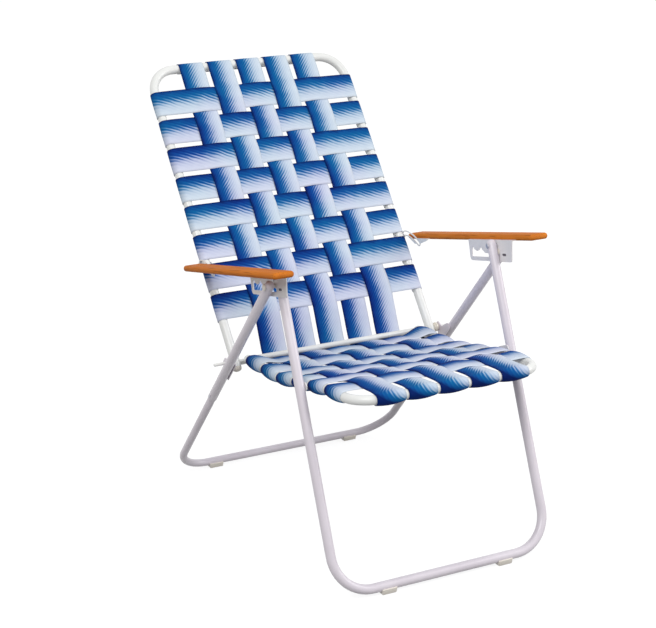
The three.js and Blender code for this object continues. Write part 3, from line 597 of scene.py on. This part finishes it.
def darkSlotFill(label, settings):
    place, forward, down = armPlace(label, settings["u"], settings["v"], settings["x"])
    turn = Matrix((forward, down, forward.cross(down))).transposed().to_euler()
    bpy.ops.object.select_all(action="DESELECT")
    bpy.ops.mesh.primitive_cube_add(size=1, location=place, rotation=turn, scale=settings["size"])
    darkBlock = bpy.context.object
    bpy.ops.object.transform_apply(location=True, rotation=True, scale=True)
    bevel = darkBlock.modifiers.new("edge", "BEVEL")
    bevel.width = settings["edge"]
    bevel.segments = wearSettings["segments"]
    bpy.ops.object.modifier_apply(modifier="edge")
    bpy.ops.object.shade_smooth_by_angle(angle=math.radians(wearSettings["angle"]))
    darkBlock.name = f"dark_slot_fill_{label}"
    darkBlock.data.materials.append(darkSlotPaint)
    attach(darkBlock, "arms")


for label in ("left", "right"):
    armBoard(label, armSettings)
    darkSlotFill(label, darkSlotSettings)
print("arm boards shaped")

glideSettings = {
    "length": 0.032, "width": 0.023, "bite": 0.0025,  # the top ends this far under the bar's middle
    "soleWidth": 0.018, "soleLength": 0.94, "downward": -0.5, "edge": 0.0014, "frontX": 0.13, "rearX": 0.168,
}


def glide(node, x, foot, settings):
    height = foot.z - settings["bite"]
    size = (settings["length"], settings["width"], height)
    bpy.ops.object.select_all(action="DESELECT")
    bpy.ops.mesh.primitive_cube_add(size=1, location=(x, foot.y, height / 2), scale=size)
    block = bpy.context.object
    bpy.ops.object.transform_apply(location=True, rotation=True, scale=True)
    for vertex in block.data.vertices:
        vertex.select = vertex.co.z < height / 2
    for face in block.data.polygons:
        face.select = face.normal.z < settings["downward"]
    for edge in block.data.edges:
        edge.select = all(block.data.vertices[corner].co.z < height / 2 for corner in edge.vertices)
    bpy.ops.object.mode_set(mode="EDIT")
    sole = (settings["soleLength"], settings["soleWidth"] / settings["width"], 1)
    bpy.ops.transform.resize(value=sole, center_override=(x, foot.y, 0))
    bpy.ops.object.mode_set(mode="OBJECT")
    wear(block, node, settings["edge"])


for label in ("left", "right"):
    glide(f"front_glide_{label}", side(label) * glideSettings["frontX"], frontFoot, glideSettings)
    glide(f"rear_glide_{label}", side(label) * glideSettings["rearX"], rearFoot, glideSettings)
print("glides shaped")


weaveSettings = {
    "wrapRadius": 0.0104, "wrapSteps": 14, "top": 90,
    "tailAngle": -140,  # where a strap ends under the tube
    "frontTailAngle": -98,
    "width": 0.057, "thickness": 0.0011, "acrossCuts": 12, "spacing": 0.0035,
    "longPitch": 0.067, "longCount": 5,
    "edgeLift": 0.0009, "reach": 0.026,  # height and distance of a crossing's edges
    # shadeFade shapes how the painted shade on the wraps fades away from the tube
    "rowWrapReach": 0.03, "longWrapReach": 0.035, "spreadRise": 2, "shadeFade": 1.6,
}
backSettings = {
    "rowStart": 0.089, "pitch": 0.067, "rows": 8,
    "barDepth": 0.0143, "barAnchor": 0.0054, "anchorArc": (300, 90, 9), "hold": 0.012,
    "crown": 0.0030, "puff": 0.0008, "gapPuff": 0.0012, "wrapPuff": 0.0003,
    # squeeze and shade paint shade onto the wraps, pushing their colour toward the dark end of the ramp
    "shadeSqueeze": 0.15, "shade": 0.0, "spread": -0.02,
}
seatSettings = {
    "rowStart": 0.0119, "pitch": 0.069, "rows": 6, "barAnchor": 0.0069, "anchorArc": (285, 205, 6),
    "pull": 0.018, "pullReach": 0.12, "pullFade": 1.3, "holdStart": 0.003, "holdReach": 0.014,
    "sag": 0.003, "sagShort": 0.045, "railSide": 0.194, "inside": 0.15,
    "crown": 0.0040, "puff": 0.0010, "gapPuff": 0.0026, "wrapPuff": 0.0030,
    # squeeze and shade paint shade onto the wraps, pushing their colour toward the dark end of the ramp
    "shadeSqueeze": 0.5, "shade": 0.75, "spread": 0.07,
}
seatLength = sum(length for slope, length in pipeSettings["seatRuns"])


def arcPoints(radius, start, end, steps):
    angles = [math.radians(start + (end - start) * step / steps) for step in range(steps + 1)]
    return [(radius * math.cos(angle), radius * math.sin(angle)) for angle in angles]


def crossing(centre, over, weave):
    sign = 1 if over else -1
    edge = weaveSettings["wrapRadius"] + sign * weaveSettings["edgeLift"]
    middle = weaveSettings["wrapRadius"] + sign * weave["crown"]
    reach = weaveSettings["reach"]
    gap = weave["gapPuff"]
    return [(centre - reach, edge, gap), (centre, middle, weave["puff"]), (centre + reach, edge, gap)]


def longIsOver(index, row):
    return (index + row) % 2 == 1


def longX(index):
    return (index - (weaveSettings["longCount"] + 1) / 2) * weaveSettings["longPitch"]


def smoothPath(points, spacing):
    dense = []
    for index in range(len(points) - 1):
        p0 = points[max(index - 1, 0)]
        p1, p2 = points[index], points[index + 1]
        p3 = points[min(index + 2, len(points) - 1)]
        d0 = max((p1 - p0).length, 1e-6) ** 0.5
        d1 = max((p2 - p1).length, 1e-6) ** 0.5
        d2 = max((p3 - p2).length, 1e-6) ** 0.5
        m1 = m2 = p2 - p1
        if index > 0:
            m1 = m1 + d1 * ((p1 - p0) / d0 - (p2 - p0) / (d0 + d1))
        if index < len(points) - 2:
            m2 = m2 + d1 * ((p3 - p2) / d2 - (p3 - p1) / (d1 + d2))
        steps = max(2, round((p2 - p1).length / spacing))
        for step in range(steps):
            t = step / steps
            dense.append(
                p1 * (2 * t**3 - 3 * t**2 + 1) + m1 * (t**3 - 2 * t**2 + t)
                + p2 * (-2 * t**3 + 3 * t**2) + m2 * (t**3 - t**2)
            )
    dense.append(points[-1].copy())
    return dense


def clamped(value):
    return max(0.0, min(1.0, value))


def seatDrop(point):
    settings = seatSettings
    forward = max(0.0, hinge.y - point.y)
    held = clamped((hinge.y - point.y + settings["holdStart"]) / settings["holdReach"])
    near = clamped((settings["railSide"] - abs(point.x)) / (settings["railSide"] - settings["inside"]))
    near = near * near * (3 - 2 * near)
    pulled = settings["pull"] * max(0.0, 1 - forward / settings["pullReach"]) ** settings["pullFade"] * held
    hollow = math.sin(math.pi * min(1.0, forward / (seatLength - settings["sagShort"])))
    return near * (pulled + settings["sag"] * max(0.0, hollow))


def makeStrap(name, points, across, material, body, wraps):
    settings = weaveSettings
    weave = seatSettings if body == "seat" else backSettings
    path = smoothPath(points, settings["spacing"])
    puffs = [point.w for point in path]
    path = [point.xyz for point in path]
    cuts = settings["acrossCuts"]
    bpy.ops.object.select_all(action="DESELECT")
    bpy.ops.mesh.primitive_grid_add(x_subdivisions=cuts, y_subdivisions=len(path) - 1, size=1, calc_uvs=True)
    strap = bpy.context.object
    strap.name = name
    travelled = [0.0]
    for before, after in zip(path, path[1:]):
        travelled.append(travelled[-1] + (after - before).length)
    total = travelled[-1]
    normals = []
    for index, point in enumerate(path):
        before = path[max(index - 1, 0)]
        after = path[min(index + 1, len(path) - 1)]
        normals.append(across.cross(after - before).normalized())
    ends = wraps["ends"]  # a length below 0 counts back from the far end
    for vertex in strap.data.vertices:
        outward = vertex.co.x * 2
        station = round((vertex.co.y + 0.5) * (len(path) - 1))
        distance = travelled[station]
        wrapped = 0.0
        for turned in ends:
            centre = turned if turned >= 0 else total + turned
            wrapped = max(wrapped, 1 - abs(distance - centre) / wraps["reach"])
        draw = 1 + weave["spread"] * clamped(wrapped * settings["spreadRise"])
        lift = puffs[station] * (1 - outward * outward)
        reach = outward * draw * settings["width"] / 2
        vertex.co = path[station] + across * reach + normals[station] * lift
        vertex.co.z -= seatDrop(vertex.co) if body == "seat" else 0
    layer = strap.data.uv_layers[0].data
    for loop in strap.data.loops:
        uv = layer[loop.index].uv
        station = min(len(path) - 1, max(0, round(uv.y * (len(path) - 1))))
        # painted shade: near each wrap the across coordinate is squeezed and shifted toward the dark navy end
        # of the colour ramp, so the strap is painted darker where it turns under the tube
        under = 0.0
        for turned in ends:
            top = abs(turned) + settings["wrapRadius"] * math.pi / 2
            gone = travelled[station] if turned > 0 else total - travelled[station]
            under = max(under, 1 - gone / top)
        under = under ** settings["shadeFade"]
        shade = uv.x * (1 - weave["shadeSqueeze"] * under) - weave["shade"] * under
        layer[loop.index].uv = (shade, travelled[station] / settings["width"])
    strap.data.uv_layers[0].name = "UVMap"
    bpy.ops.object.shade_smooth()
    solidify = strap.modifiers.new("thickness", "SOLIDIFY")
    solidify.thickness = settings["thickness"]
    solidify.offset = 0
    bpy.ops.object.modifier_apply(modifier="thickness")
    strap.data.materials.append(material)
    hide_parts(name.replace("webbing_", ""))
    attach(strap, body)
    return total


def wrapStations(tail):
    return arcPoints(weaveSettings["wrapRadius"], tail, weaveSettings["top"], weaveSettings["wrapSteps"])


def wrapTurn(tail):
    return math.radians(-tail) * weaveSettings["wrapRadius"]  # length from the end to the outermost line


def makeRow(name, origin, across, up, halfWidth, row, body):
    weave = seatSettings if body == "seat" else backSettings
    puff = weave["wrapPuff"]
    wrap = [(halfWidth + out, height, puff) for out, height in wrapStations(weaveSettings["tailAngle"])]
    middle = []
    for index in range(1, weaveSettings["longCount"] + 1):
        middle += crossing(longX(index), not longIsOver(index, row), weave)
    stations = [(-x, height, puff) for x, height, puff in wrap] + middle + wrap[::-1]
    points = [Vector((*(origin + Vector((x, 0, 0)) + up * height), puff)) for x, height, puff in stations]
    turn = wrapTurn(weaveSettings["tailAngle"])
    wraps = {"ends": (turn, -turn), "reach": weaveSettings["rowWrapReach"]}
    return makeStrap(name, points, across, rowWebbing, body, wraps)


lengths = {}
lowestRow = backSettings["rowStart"] + weaveSettings["width"] / 2
rowCentres = [
    lowestRow + (backSettings["rows"] - row) * backSettings["pitch"]
    for row in range(1, backSettings["rows"] + 1)
]
for row, centre in enumerate(rowCentres, 1):
    origin = hinge + backUp * centre
    lengths[f"back_row_{row}"] = makeRow(
        f"webbing_back_row_strap_{row}", origin, -backUp, backFront, pipeSettings["backHalf"], row,
        "back",
    )
for index in range(1, weaveSettings["longCount"] + 1):
    anchor = backSettings["barAnchor"]
    depth = backSettings["barDepth"]
    arc = arcPoints(anchor, *backSettings["anchorArc"])
    stations = [(rise, height - depth, 0) for rise, height in arc]
    stations.append((backSettings["hold"], anchor - depth, 0))
    for row in range(backSettings["rows"], 0, -1):
        stations += crossing(rowCentres[row - 1], longIsOver(index, row), backSettings)
    wrap = wrapStations(weaveSettings["tailAngle"])[::-1]
    stations += [(pipeSettings["backLength"] + out, height, backSettings["wrapPuff"]) for out, height in wrap]
    foot = hinge + Vector((longX(index), 0, 0))
    points = [Vector((*(foot + backUp * rise + backFront * height), puff)) for rise, height, puff in stations]
    turn = wrapTurn(weaveSettings["tailAngle"])
    lengths[f"back_long_{index}"] = makeStrap(
        f"webbing_back_long_strap_{index}", points, Vector((1, 0, 0)), longWebbing, "back",
        {"ends": (-turn,), "reach": weaveSettings["longWrapReach"]},
    )
print("back webbing woven")


def seatPlace(distance):
    start = hinge
    for slope, length in pipeSettings["seatRuns"]:
        run = heading(slope)
        if distance <= length or slope == pipeSettings["seatRuns"][-1][0]:
            return start + run * distance, run, run.cross(Vector((1, 0, 0))).normalized()
        start = start + run * length
        distance -= length


seatCentres = [
    seatSettings["rowStart"] + weaveSettings["width"] / 2 + row * seatSettings["pitch"]
    for row in range(seatSettings["rows"])
]
for row, centre in enumerate(seatCentres, 1):
    place, run, up = seatPlace(centre)
    lengths[f"seat_row_{row}"] = makeRow(
        f"webbing_seat_row_strap_{row}", place, run, up, pipeSettings["seatHalf"], row,
        "seat",
    )
for index in range(1, weaveSettings["longCount"] + 1):
    arc = arcPoints(seatSettings["barAnchor"], *seatSettings["anchorArc"])
    points = [Vector((*(hinge + flat(step)), 0)) for step in arc]
    for row, centre in enumerate(seatCentres, 1):
        for distance, height, puff in crossing(centre, longIsOver(index, row), seatSettings):
            place, run, up = seatPlace(distance)
            points.append(Vector((*(place + up * height), puff)))
    seatFront, run, up = seatPlace(seatLength)
    for out, height in wrapStations(weaveSettings["frontTailAngle"])[::-1]:
        points.append(Vector((*(seatFront + run * out + up * height), seatSettings["wrapPuff"])))
    points = [point + Vector((longX(index), 0, 0, 0)) for point in points[::-1]]
    turn = wrapTurn(weaveSettings["frontTailAngle"])
    lengths[f"seat_long_{index}"] = makeStrap(
        f"webbing_seat_long_strap_{index}", points, Vector((1, 0, 0)), longWebbing, "seat",
        {"ends": (turn,), "reach": weaveSettings["longWrapReach"]},
    )
print("seat webbing woven")
print("strap lengths:", {name: round(value, 4) for name, value in lengths.items()})


stageSettings = {
    "floor": 30.0, "below": 0.0005, "color": (0.2, 0.2, 0.202), "roughness": 0.9, "glow": 0.86,
    "world": 0.55, "target": (0, 0, 0.4),
}
lightSettings = {
    "keyLight": {"place": (-2.2, -2.6, 3.4), "power": 92, "size": 2.4},
    "fillLight": {"place": (2.8, -1.8, 2.0), "power": 52, "size": 2.2},
}


def seenDirect(tree):
    path = addNode(tree, "ShaderNodeLightPath")
    seen = math2(tree, "ADD", path.outputs["Is Camera Ray"], path.outputs["Is Glossy Ray"])
    return math2(tree, "ADD", seen, path.outputs["Is Transmission Ray"], True)


def makeStage(settings):
    bpy.ops.object.select_all(action="DESELECT")
    bpy.ops.mesh.primitive_plane_add(size=settings["floor"], location=(0, 0, -settings["below"]))
    floor = bpy.context.object
    floor.name = "studioFloor"
    bpy.ops.object.transform_apply(location=True)
    material, tree, shader = newMaterial("studioFloor")
    shader.inputs["Base Color"].default_value = (*settings["color"], 1)
    shader.inputs["Roughness"].default_value = settings["roughness"]
    shader.inputs["Emission Color"].default_value = (1, 1, 1, 1)
    glow = math2(tree, "MULTIPLY", seenDirect(tree), settings["glow"])
    tree.links.new(glow, shader.inputs["Emission Strength"])
    floor.data.materials.append(material)


def makeLight(name, target, settings):
    data = bpy.data.lights.new(name, "AREA")
    data.energy = settings["power"]
    data.size = settings["size"]
    lamp = bpy.data.objects.new(name, data)
    scene.collection.objects.link(lamp)
    lamp.location = settings["place"]
    lamp.rotation_euler = (Vector(target) - Vector(settings["place"])).to_track_quat("-Z", "Y").to_euler()


def makeWorld(strength):
    world = bpy.data.worlds.new("studio")
    scene.world = world
    world.use_nodes = True
    tree = world.node_tree
    background = tree.nodes["Background"]
    background.inputs["Color"].default_value = (1, 1, 1, 1)
    bright = math2(tree, "MULTIPLY", seenDirect(tree), 1 - strength)
    tree.links.new(math2(tree, "ADD", strength, bright), background.inputs["Strength"])


makeStage(stageSettings)
makeWorld(stageSettings["world"])
for name, settings in lightSettings.items():
    makeLight(name, stageSettings["target"], settings)
print("stage and light set")
